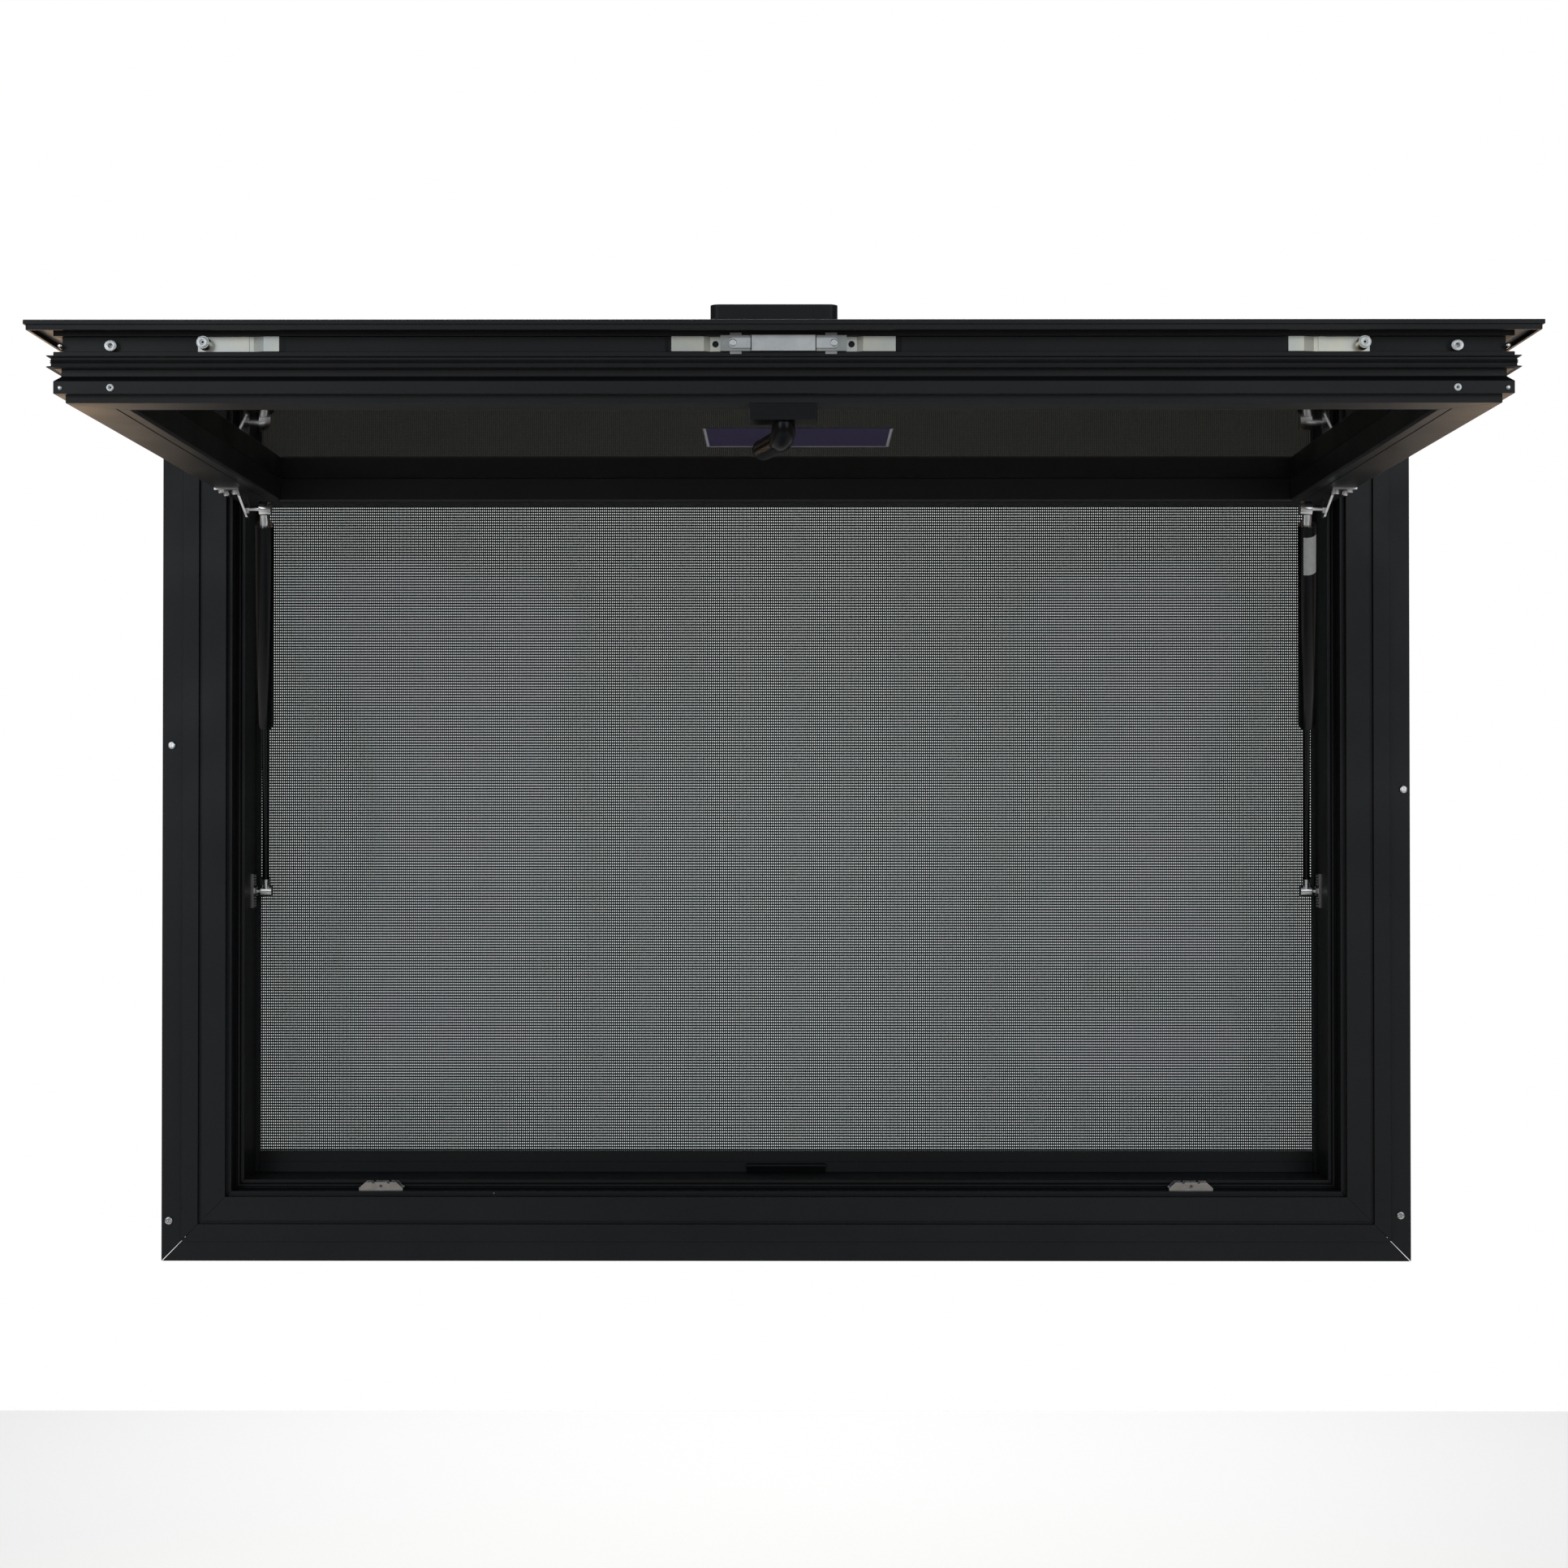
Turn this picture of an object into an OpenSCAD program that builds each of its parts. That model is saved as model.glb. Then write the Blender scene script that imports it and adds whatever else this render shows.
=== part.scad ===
// Awning serving window in black aluminium, held open by two gas struts.
// X runs along the wall, Y goes into the wall and Z is up, in millimetres.
// The origin lies on the back of the bottom flange, at the middle of the width.

/* [Overall] */
// Width over the mounting flange
overall_w = 1304; // [1104:10:1504]
// Height over the mounting flange
overall_h = 916; // [800:4:1040]
// Depth of the frame from its front face
frame_d = 125; // [120:1:150]
// Opening angle of the sash
sash_open = 90; // [70:1:90]

/* [Mounting flange] */
// Width of the flat outer fin
fin_w = 22; // [16:1:28]
// Thickness of the fin
fin_t = 2.5; // [2:0.1:3.5]
// Width of the raised lip inside the fin
lip_w = 17.2; // [12:0.2:20]
// Height of the lip in front of the wall
lip_h = 9; // [8:0.5:12]
// Wall thickness of the lip and of the leg
lip_t = 2; // [1.5:0.1:2.5]
// Width of the shadow groove between the lip and the frame
groove_w = 3.8; // [3:0.1:6]
// Depth of the shadow groove
groove_d = 4; // [3:0.2:5]
// Length of the leg that lies along the frame, behind the wall plane
leg_d = 18; // [12:1:30]
// Gap left open at the two bottom mitres of the flange
mitre_gap = 1; // [0.4:0.1:2]

/* [Frame] */
// Width of the front face
face_w = 24.6; // [22:0.2:32]
// Width of the landing that the sash wing covers
landing_w = 5; // [4:0.2:7]
// Depth of the hardware channel behind the landing
channel_d = 25; // [24:0.5:30]
// Width of the stop wall behind the channel
stop_w = 9.2; // [9:0.1:12]
// Width of the ridge at the inner edge of the stop wall
ridge_w = 3.5; // [2:0.1:4]
// Height of the ridge
ridge_h = 3; // [2:0.1:4]
// Width of the seal in the stop wall
seal_w = 3.8; // [3:0.1:4.4]
// Height of the seal in front of the stop wall
seal_h = 2.4; // [1.6:0.1:3.2]
// Depth of the seal groove
seal_foot = 3.6; // [3:0.1:5]

/* [Insect screen] */
// Distance of the screen tracks behind the front face
track_back = 94; // [94:0.5:98]
// Outer width of a track
track_w = 13; // [12:0.5:15]
// Depth of the pocket that holds a track
pocket_d = 8; // [6:0.5:10]
// How far the track lips stand out of the jamb
track_lip = 3; // [2:0.2:4]
// Wall thickness of the tracks
track_t = 1.8; // [1.4:0.1:2.2]
// Height of the pull bar
bar_h = 22; // [18:1:28]
// Depth of the pull bar
bar_d = 12; // [10:0.5:14]
// Length of the pull tab
tab_l = 84.6; // [60:1:120]
// Height of the pull tab
tab_h = 9.6; // [8:0.2:10]
// How far the pull tab stands out
tab_d = 5; // [4:0.2:6]
// Thickness of the mesh
mesh_t = 1; // [0.6:0.1:1.4]
// Height of the roller box under the head
box_h = 34; // [30:1:38]
// Depth of the roller box
box_d = 28; // [26:0.5:30]
// Rounding of the roller box's front edge
box_round = 6; // [3:0.5:8]
// Depth of each step in the pull bar's face
bar_step = 1.5; // [1:0.1:2]
// Height of the pull bar's top step
bar_lip = 2; // [1:0.2:3]
// Bevel of the pull tab
tab_bevel = 1.5; // [1:0.1:2]
// Clearance of the bar and the mesh in the tracks
screen_clear = 1; // [0.6:0.1:1.4]

/* [Keepers] */
// Length of a lock keeper
keeper_l = 45.8; // [40:0.5:60]
// Depth of a lock keeper
keeper_d = 17; // [15:0.5:20]
// Height of a lock keeper
keeper_h = 9; // [7:0.5:10]
// Distance of a keeper from the reveal
keeper_in = 146.7; // [130:0.1:170]
// Length of a keeper's sloping ends
keeper_slope = 7; // [5:0.5:9]
// Thickness of a keeper's two walls
keeper_wall = 3.4; // [2.5:0.1:4]
// Thickness of a keeper's floor
keeper_floor = 2.6; // [2:0.1:3]
// Distance of a keeper behind the landing
keeper_back = 3.2; // [2:0.1:4]
// Radius of the screw holes of a keeper
keeper_hole = 1.8; // [1.2:0.1:2.2]
// Width of the two notches in a keeper's walls
notch_w = 2.4; // [1.6:0.1:3]
// Depth of the two notches in a keeper's walls
notch_d = 1.6; // [1:0.1:2.4]

/* [Sash] */
// Clearance between the sash wing and the frame
sash_clear = 1.4; // [1:0.1:2.5]
// Thickness of the sash
sash_d = 60.3; // [58:0.1:64]
// Width of a sash member, from the wing edge to the glazing bead
sash_w = 57.9; // [56:0.1:64]
// Thickness of the wing
wing_t = 4.1; // [3.6:0.1:4.6]
// Depth of the hook at the edge of the wing
wing_hook = 7.6; // [7:0.1:8]
// Width of the hook at the edge of the wing
hook_w = 2.6; // [2:0.1:3.2]
// Distance from the wing edge to the hardware face
wing_w = 18.6; // [18:0.1:20]
// Step at the inner flange
step_w = 7.7; // [6:0.1:9]
// Thickness of the inner flange
step_d = 6.2; // [5:0.1:7]
// Gap between the wing hook and the landing of the closed window
land_gap = 0.4; // [0.2:0.1:1]
// Distance from the outer face to the recess along the edge
recess_from = 34.8; // [34.8:0.1:36]
// Distance from the outer face to the end of the recess's floor
recess_to = 40.2; // [38:0.1:42]
// Distance from the outer face to the end of the recess's slope
recess_out = 44.4; // [43:0.1:48]
// Depth of the recess
recess_d = 5; // [3:0.1:6]
// How far the hook stands back from the wing edge
hook_back = 1.7; // [1:0.1:2.4]
// Thickness of the wing edge in front of the hook
hook_step = 3.5; // [2.5:0.1:3.6]

/* [Sash seal] */
// Distance of the seal behind the outer face
edge_y = 25.1; // [24.6:0.1:25.4]
// Width of the seal
edge_w = 9.2; // [8.6:0.1:9.4]
// Thickness of the seal between its fins
edge_t = 1.4; // [1:0.1:1.8]
// How far the fins stand out of the sash
edge_out = 4.2; // [3:0.1:5]
// Thickness of the fins and of the ribs between them
rib_t = 1.4; // [1:0.1:1.6]
// Height of the ribs
rib_h = 0.8; // [0.4:0.1:1.2]
// Width of the seal's foot
foot_w = 3.6; // [3:0.1:4]
// Depth of the seal's foot
foot_d = 3; // [2:0.1:3.4]
// Distance of the foot behind the outer face
foot_y = 29.6; // [29.2:0.1:30]

/* [Glazing] */
// Thickness of each pane of the double glazing
pane_t = 5; // [4:0.5:6]
// Space between the panes
cavity = 14; // [9:0.5:16]
// Distance of the outer pane behind the outer face
glass_back = 12.4; // [11:0.2:13]
// Distance of the spacer from the edge of the panes
spacer_in = 1.5; // [1:0.1:2.5]
// Width of the spacer
spacer_w = 7; // [5:0.5:8]
// Width of the outer glazing lip
lip_in = 8.7; // [7:0.1:10]
// Edge clearance of the glass
glass_clear = 1.6; // [1:0.1:3]
// Width of a glazing bead
bead_w = 10.7; // [9:0.1:13]
// Distance of the beads behind the inner face
bead_back = 0.5; // [0.2:0.1:1.5]
// Bevel of a bead's inner edge
bead_bevel = 2; // [1:0.1:3]

/* [Hinge] */
// Distance of the hinge axis in front of the frame
hinge_out = 4; // [4:0.1:5]
// Radius of the hinge bead
hinge_r = 2; // [1.8:0.1:2.2]
// Clearance between the hinge bead and its socket
hinge_clear = 0.1; // [0.08:0.01:0.15]
// Wall of the hinge socket
hinge_wall = 1.5; // [1.2:0.1:1.5]
// Height of a hinge leaf
leaf_h = 18; // [15:0.5:21]
// Thickness of a hinge leaf
leaf_t = 2; // [1.6:0.1:2.2]
// Gap between the hinge socket and the arm of a leaf
arm_gap = 1; // [0.8:0.1:1.2]
// First angle of the socket's mouth
mouth_from = 60; // [55:1:65]
// Last angle of the socket's mouth
mouth_to = 210; // [200:1:215]

/* [Lock hardware] */
// Width of the hardware groove
rod_groove_w = 12.2; // [12:0.1:13]
// Depth of the hardware groove
rod_groove_d = 5.6; // [5.4:0.1:6]
// Clearance of the rods in the groove
rod_clear = 0.3; // [0.2:0.05:0.4]
// Thickness of the rods
rod_t = 2.3; // [2:0.1:2.4]
// Distance of the groove behind the outer face
rod_groove_back = 9.5; // [9:0.1:10]
// Distance of the lock rollers from the wing edge
roller_in = 135.8; // [120:0.2:150]
// Radius of the lock rollers
roller_r = 4.9; // [4:0.1:5.4]
// Height of the lock rollers
roller_h = 8; // [6:0.2:9]
// Travel of the lock rods
lock_travel = 20; // [15:0.5:20]
// Length of the gearbox body
gear_l = 50; // [48:1:56]
// Length of each gearbox cover
cover_l = 23.7; // [22:0.1:26]
// Height of the gearbox covers
cover_h = 4; // [3:0.1:5]
// Length of the raised cap on a cover
cap_l = 17; // [15:0.5:19]
// Width of the raised cap
cap_w = 8; // [7:0.1:10]
// Height of the raised cap
cap_h = 1.4; // [1:0.1:2]
// Rounding of the cap's outer corners
cap_round = 3; // [1:0.1:3.4]
// Length of the ears at a cover
ear_l = 9; // [6:0.1:11]
// How far the ears reach past the groove
ear_w = 2.2; // [1.4:0.1:2.6]
// Space between the gearbox and the rods when they are pulled in
rod_gap = 1.5; // [1:0.1:2]
// Distance of a fork's outer end from the middle
fork_end = 86.6; // [86:0.2:90]
// Length of a fork
fork_l = 25; // [22:0.5:26]
// Length of a joggle
joggle_l = 5; // [4:0.5:6]
// Radius of the slot beside a fork
slot_r = 2.5; // [1.8:0.1:3]
// Distance from a fork's outer end to its slot
slot_in = 34; // [33:0.1:34]
// Length of the lock bar past its roller
bar_past = 5.8; // [5:0.2:8]
// Length of a lock bar
bar_l = 63.2; // [56:0.2:75]
// Length of the raised end of a lock bar
flat_l = 12; // [8:0.5:16]
// Length of the slope behind the raised end
slope_l = 8; // [5:0.5:11]
// Distance from a lock bar's outer end to its pad
pad_in = 33.6; // [30:0.2:36]
// Length of the pad
pad_l = 6.2; // [5:0.2:8]
// Height of the pad
pad_h = 0.8; // [0.4:0.1:1.2]

/* [Handles] */
// Length of the handle base
base_l = 52.3; // [46:0.5:60]
// Width of the handle base
base_w = 30; // [26:0.5:31]
// Height of the handle base
base_h = 12.8; // [10:0.2:14]
// Radius of the handle neck
neck_r = 9.4; // [8:0.1:11]
// Radius of the handle spindle
spindle_r = 5; // [4:0.1:6]
// Running clearance of the spindle
spindle_clear = 0.06; // [0.04:0.01:0.1]
// Distance from the handle base to the bend of the lever
neck_l = 2.2; // [1:0.2:6]
// Radius of the bend along its middle
bend_r = 11.2; // [11.2:0.1:13]
// Length of the lever from the neck to the middle of its tip
lever_l = 64; // [50:1:120]
// Radius of the lever's tip
tip_r = 8.6; // [7:0.1:9]
// Angle of the lever away from the sash's length
lever_rest = 15; // [0:1:20]
// Length of the pull on the outer face
pull_l = 98.6; // [80:0.2:120]
// Height of the pull on the outer face
pull_h = 15.5; // [12:0.5:18]
// Width of the pull on the outer face
pull_w = 20; // [16:0.5:24]
// Distance of the pull to the left of the middle
pull_x = 7.4; // [0:0.2:12]
// Distance of the pull from the wing edge
pull_up = 22; // [18:1:26]
// Rounding of the pull's corners
pull_round = 7; // [3:0.5:8]

/* [Gas struts] */
// Length of a strut cylinder
tube_l = 231; // [200:1:240]
// Radius of a strut cylinder
tube_r = 9; // [8:0.1:10]
// Radius of a piston rod
piston_r = 3.5; // [3:0.1:4]
// Radius of the ball studs
ball_r = 5; // [4.5:0.1:5.5]
// Clearance between a ball and its socket
ball_clear = 0.08; // [0.05:0.01:0.15]
// Distance from a ball to the strut cylinder
tube_from_ball = 17.6; // [16:0.2:20]
// Distance of the upper ball along the sash from the hinge axis
strut_along = 172.5; // [160:0.5:185]
// Distance of the upper ball from the inner face of the sash
strut_drop = 18; // [16:0.1:22]
// Distance of the upper ball from the wing edge
strut_inset = 71.6; // [69:0.1:73]
// Distance of the lower ball under the hinge axis
strut_low = 464; // [440:1:490]
// Distance of the lower ball behind the front face
strut_back = 76; // [72:0.5:80]
// Distance of the lower ball from the jamb
stud_l = 13.6; // [12:0.1:16]
// Width of a strut bracket
bracket_w = 23.6; // [20:0.2:26]
// Length of a strut bracket along the sash
bracket_l = 46; // [36:1:56]
// Length of the bracket's leg
bracket_leg = 28; // [26:0.5:32]
// Thickness of the brackets
bracket_t = 2; // [1.6:0.1:2.6]
// How far the leg leans towards the middle
leg_lean = 6; // [4:0.5:8]
// Radius of the leg's rounded end
leg_round = 8; // [7:0.1:9]
// Distance from the sash at which the leg starts to taper
leg_straight = 8; // [4:0.5:10]
// Radius of the six-sided collar of a stud
collar_r = 5.4; // [4.6:0.1:6]
// Thickness of the collar
collar_t = 2.6; // [2:0.1:3.2]
// Length of the stud's plate on the jamb
plate_l = 36; // [28:1:44]
// Width of the stud's plate on the jamb
plate_w = 16; // [14:0.5:20]
// Wall of a ball socket
socket_wall = 1.8; // [1.4:0.1:2.2]
// Share of the ball's radius that a socket takes in towards the stud
socket_share = 0.68; // [0.6:0.01:0.72]
// Radius of a socket's mouth
socket_mouth = 4.1; // [3.9:0.1:4.3]
// How much thicker a shank is than the piston rod
shank_more = 1; // [0.6:0.1:1.4]
// Length of the piston rod inside the cylinder
rod_in = 30; // [20:1:40]
// Length of the collar at the cylinder's lower end
tube_collar = 3; // [2:0.5:5]

/* [Hidden] */
$fn = 48;
coat = [0.09, 0.09, 0.1];
rubber = [0.05, 0.05, 0.05];
zinc = [0.7, 0.71, 0.7];
smoked = [0.25, 0.25, 0.25, 0.6];
weld = 0.05;

// Half sizes of the rings, each one inside the next
half_w = overall_w / 2;
half_h = overall_h / 2;
mid_z = half_h - fin_w / 2;
body_u = fin_w + lip_w + groove_w;
body_x = half_w - body_u;
body_z = half_h - body_u;
reveal_u = face_w + landing_w + stop_w;
reveal_x = body_x - reveal_u;
reveal_z = body_z - reveal_u;
sash_x = body_x - face_w - sash_clear;
sash_z = body_z - face_w - sash_clear;

// Levels of the frame along the depth
face_y = -lip_h;
back_y = face_y + frame_d;
landing_y = face_y + wing_hook + land_gap;
stop_y = landing_y + channel_d;
track_y = face_y + track_back;
mesh_y = track_y + track_w / 2;
channel_u = face_w + landing_w;
seal_u = reveal_u - ridge_w - (stop_w - ridge_w + seal_w) / 2;
sill_top = mid_z - reveal_z;
box_z = mid_z + reveal_z - box_h;

// The hinge axis, and places on the sash
hinge_y = face_y - hinge_out;
hinge_z = mid_z + body_z - face_w;
socket_r = hinge_r + hinge_clear;
arm = socket_r + hinge_wall + arm_gap;
bottom_z = mid_z - sash_z;
inner_y = face_y + sash_d;
groove_y = face_y + rod_groove_back;
rod_w = rod_groove_w - 2 * rod_clear;
high_u = wing_w + rod_clear;
low_u = wing_w + rod_groove_d - rod_clear - rod_t;
handle_z = bottom_z + (wing_w + step_w + sash_w) / 2;
lever_y = inner_y + base_h + neck_l + bend_r;
pane_edge = sash_w + glass_clear;
spacer_y = face_y + glass_back + pane_t;
glass_y = spacer_y + cavity + pane_t;
keeper_x = reveal_x - keeper_in;
roller_x = sash_x - roller_in;

// The ends of the left strut, with the upper one swung open with the sash
top_ball = swing([-(sash_x - strut_inset), inner_y + strut_drop, hinge_z - strut_along]);
low_ball = [-(reveal_x - stud_l), face_y + strut_back, hinge_z - strut_low];
housing_r = ball_r + socket_wall;
shank_r = piston_r + shank_more;
socket_depth = socket_share * ball_r;
shank_from = ball_r + 2 * ball_clear;
skirt = shank_r + 2 * ball_clear;

// A point of the closed sash, turned about the hinge axis
function swing(p) = [
    p[0],
    hinge_y + (p[1] - hinge_y) * cos(sash_open) + (p[2] - hinge_z) * sin(sash_open),
    hinge_z - (p[1] - hinge_y) * sin(sash_open) + (p[2] - hinge_z) * cos(sash_open)
];

// Points of an arc from one angle to another
function arc(c, r, from, to, steps = 8) = [
    for (i = [0:steps]) let (a = from + (to - from) * i / steps) c + r * [cos(a), sin(a)]
];

// Turns children of the closed sash to its opening angle
module on_sash() {
    translate([0, hinge_y, hinge_z])
        rotate([-sash_open, 0, 0])
            translate([0, -hinge_y, -hinge_z])
                children();
}

// Extrudes an outline of [Y, Z] points along X, about the middle
module along_x(length) {
    translate([-length / 2, 0, 0])
        rotate([90, 0, 90])
            linear_extrude(length)
                children();
}

// A mitred bottom member: the outline has [distance from the outer edge, Y] points
// The gap opens at the outer corner and closes at the inner one
module mitred(outline, length, reach, gap = 0) {
    intersection() {
        along_x(length)
            polygon([for (p = outline) [p[1], p[0]]]);
        rotate([90, 0, 0])
            linear_extrude(4 * frame_d, center = true)
                polygon([
                    [-length / 2 + gap, 0], [length / 2 - gap, 0],
                    [length / 2 - reach - min(gap, 0), reach],
                    [-length / 2 + reach + min(gap, 0), reach]
                ]);
    }
}

// Puts a mitred member on one side of a ring with the given half sizes
module ring_side(side, outline, x, z, reach, gap = 0) {
    upright = side == "left" || side == "right";
    turn = side == "bottom" ? 0 : side == "left" ? 90 : side == "top" ? 180 : 270;
    translate([0, 0, mid_z])
        rotate([0, turn, 0])
            translate([0, 0, upright ? -x : -z])
                mitred(outline, 2 * (upright ? z : x), reach, gap);
}

// Four members that overlap a little at the corners, so that they are one solid
module ring(outline, x, z, reach) {
    for (side = ["bottom", "left", "top", "right"])
        ring_side(side, outline, x, z, reach, -weld);
}

function flange_outline() = [
    [0, 0], [0, -fin_t], [fin_w, -fin_t], [fin_w, face_y], [fin_w + lip_w, face_y],
    [fin_w + lip_w, face_y + groove_d], [body_u, face_y + groove_d], [body_u, leg_d],
    [body_u - lip_t, leg_d], [body_u - lip_t, face_y + groove_d + lip_t],
    [fin_w + lip_w - lip_t, face_y + groove_d + lip_t], [fin_w + lip_w - lip_t, face_y + lip_t],
    [fin_w + lip_t, face_y + lip_t], [fin_w + lip_t, 0]
];

module flange(side) {
    color(coat)
        ring_side(side, flange_outline(), half_w, half_h, body_u, side == "bottom" ? mitre_gap : 0);
}

module flange_bottom() { flange("bottom"); }
module flange_top() { flange("top"); }
module flange_left() { flange("left"); }
module flange_right() { flange("right"); }

function frame_outline(pocket) = concat(
    [
        [0, face_y], [face_w, face_y], [face_w, landing_y], [channel_u, landing_y],
        [channel_u, stop_y], [seal_u, stop_y], [seal_u, stop_y + seal_foot],
        [seal_u + seal_w, stop_y + seal_foot], [seal_u + seal_w, stop_y],
        [reveal_u - ridge_w, stop_y], [reveal_u - ridge_w, stop_y - ridge_h],
        [reveal_u, stop_y - ridge_h]
    ],
    pocket ? [
        [reveal_u, track_y], [reveal_u - pocket_d, track_y],
        [reveal_u - pocket_d, track_y + track_w], [reveal_u, track_y + track_w]
    ] : [],
    [[reveal_u, back_y], [0, back_y]]
);

module frame_member(side, pocket) {
    color(coat)
        ring_side(side, frame_outline(pocket), body_x, body_z, reveal_u);
}

module frame_sill() { frame_member("bottom", false); }
module frame_head() { frame_member("top", false); }
module frame_jamb_left() { frame_member("left", true); }
module frame_jamb_right() { frame_member("right", true); }

// The seal fills its groove and ends in a rounded bead
module frame_seal() {
    outline = concat(
        [[seal_u, stop_y + seal_foot], [seal_u, stop_y - seal_h + seal_w / 2]],
        arc([seal_u + seal_w / 2, stop_y - seal_h + seal_w / 2], seal_w / 2, 180, 360, 8),
        [[seal_u + seal_w, stop_y + seal_foot]]
    );
    color(rubber)
        ring(outline, body_x, body_z, reveal_u);
}

// A channel in the jamb's pocket, from the sill to the roller box
module screen_track_left() {
    back_x = reveal_x + pocket_d;
    color(coat)
        difference() {
            translate([-back_x, track_y, sill_top])
                cube([pocket_d + track_lip, track_w, box_z - sill_top]);
            translate([-back_x + track_t, track_y + track_t, sill_top - 1])
                cube([pocket_d + track_lip, track_w - 2 * track_t, box_z - sill_top + 2]);
        }
}

module screen_track_right() { mirror([1, 0, 0]) screen_track_left(); }

// The bar's face has two steps, a tab in the middle and tongues that run in the tracks
module screen_pull_bar() {
    front = mesh_y - bar_d / 2;
    top = sill_top + bar_h;
    tab_top = sill_top + tab_h;
    bar_x = reveal_x - track_lip - screen_clear;
    tongue_x = reveal_x + pocket_d - track_t - screen_clear;
    tongue_t = track_w - 2 * track_t - screen_clear;
    color(coat) {
        along_x(2 * bar_x)
            polygon([
                [front, sill_top], [front + bar_d, sill_top], [front + bar_d, top],
                [front + 2 * bar_step, top], [front + 2 * bar_step, top - bar_lip],
                [front + bar_step, top - bar_lip], [front + bar_step, top - bar_h / 2],
                [front, top - bar_h / 2]
            ]);
        translate([-tongue_x, mesh_y - tongue_t / 2, sill_top])
            cube([2 * tongue_x, tongue_t, bar_h]);
        along_x(tab_l)
            polygon([
                [front + bar_step / 2, sill_top], [front + bar_step / 2, tab_top],
                [front - tab_d + tab_bevel, tab_top], [front - tab_d, tab_top - tab_bevel],
                [front - tab_d, tab_top - 2 * tab_bevel], [front - bar_step / 2, sill_top]
            ]);
    }
}

module screen_mesh() {
    mesh_x = reveal_x + pocket_d - track_t - 2 * screen_clear;
    color("dimgray")
        translate([-mesh_x, mesh_y - mesh_t / 2, sill_top + bar_h])
            cube([2 * mesh_x, mesh_t, box_z - sill_top - bar_h]);
}

// The closed box of the roller, under the head, with a rounded front edge
module screen_box() {
    front = mesh_y - box_d / 2;
    color(coat)
        along_x(2 * reveal_x)
            polygon(concat(
                [[front + box_d, box_z], [front + box_d, box_z + box_h], [front, box_z + box_h]],
                arc([front + box_round, box_z + box_round], box_round, 180, 270)
            ));
}

// A keeper with sloping ends, a roller path between two notched walls, and screw holes
module keeper() {
    front = landing_y + keeper_back;
    floor_z = mid_z - body_z + channel_u;
    notch_z = floor_z + keeper_h - notch_d;
    shoulder = keeper_l / 2 - keeper_slope;
    color(zinc)
        difference() {
            translate([0, front + keeper_d, floor_z])
                rotate([90, 0, 0])
                    linear_extrude(keeper_d)
                        polygon([
                            [-keeper_l / 2, 0], [keeper_l / 2, 0], [keeper_l / 2, keeper_floor],
                            [shoulder, keeper_h], [-shoulder, keeper_h],
                            [-keeper_l / 2, keeper_floor]
                        ]);
            translate([-keeper_l, front + keeper_wall, floor_z + keeper_floor])
                cube([2 * keeper_l, keeper_d - 2 * keeper_wall, keeper_h]);
            for (side = [-1, 1])
                translate([side * shoulder / 2 - notch_w / 2, front - keeper_d, notch_z])
                    cube([notch_w, 3 * keeper_d, keeper_h]);
            translate([0, front + keeper_d / 2, floor_z - keeper_floor])
                cylinder(h = keeper_h, r = keeper_hole);
            translate([0, front - keeper_wall, floor_z + keeper_h / 2])
                rotate([-90, 0, 0])
                    cylinder(h = 2.5 * keeper_wall, r = keeper_hole);
        }
}

module keeper_left() { translate([-keeper_x, 0, 0]) keeper(); }
module keeper_right() { translate([keeper_x, 0, 0]) keeper(); }

// The fixed leaf: a plate on the head, an arm and the bead at the hinge axis
module hinge_frame_leaf() {
    color(coat)
        translate([0, hinge_y, hinge_z])
            along_x(2 * sash_x) {
                circle(r = hinge_r);
                translate([-hinge_r / 2, 0])
                    square([hinge_r, arm + leaf_t / 2]);
                translate([-hinge_r / 2, arm])
                    square([hinge_out + hinge_r / 2, leaf_t]);
                translate([hinge_out - leaf_t, arm])
                    square([leaf_t, leaf_h - arm]);
            }
}

// The moving leaf: a plate on the sash and a socket that hooks round the bead
module hinge_sash_leaf() {
    color(coat)
        on_sash()
            translate([0, hinge_y, hinge_z])
                along_x(2 * sash_x) {
                    difference() {
                        circle(r = socket_r + hinge_wall);
                        circle(r = socket_r);
                        polygon(concat([[0, 0]], arc([0, 0], 3 * socket_r, mouth_from, mouth_to, 3)));
                    }
                    translate([-hinge_r / 2, -arm - leaf_t / 2])
                        square([hinge_r, arm + leaf_t / 2 - socket_r - hinge_wall / 2]);
                    translate([-hinge_r / 2, -arm - leaf_t])
                        square([hinge_out + hinge_r / 2, leaf_t]);
                    translate([hinge_out - leaf_t, -leaf_h])
                        square([leaf_t, leaf_h - arm]);
                }
}

function sash_outline() = [
    [0, face_y], [sash_w + lip_in, face_y], [sash_w + lip_in, face_y + glass_back],
    [sash_w, face_y + glass_back], [sash_w, inner_y], [wing_w + step_w, inner_y],
    [wing_w + step_w, inner_y - step_d], [wing_w, inner_y - step_d],
    [wing_w, face_y + recess_out], [wing_w + recess_d, face_y + recess_to],
    [wing_w + recess_d, face_y + recess_from], [wing_w, face_y + recess_from],
    [wing_w, face_y + foot_y + foot_w / 2], [wing_w + foot_d, face_y + foot_y + foot_w / 2],
    [wing_w + foot_d, face_y + foot_y - foot_w / 2], [wing_w, face_y + foot_y - foot_w / 2],
    [wing_w, groove_y + rod_groove_w], [wing_w + rod_groove_d, groove_y + rod_groove_w],
    [wing_w + rod_groove_d, groove_y], [wing_w, groove_y],
    [wing_w, face_y + wing_t], [hook_back + hook_w, face_y + wing_t],
    [hook_back + hook_w, face_y + wing_hook], [hook_back, face_y + wing_hook],
    [hook_back, face_y + hook_step], [0, face_y + hook_step]
];

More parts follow.
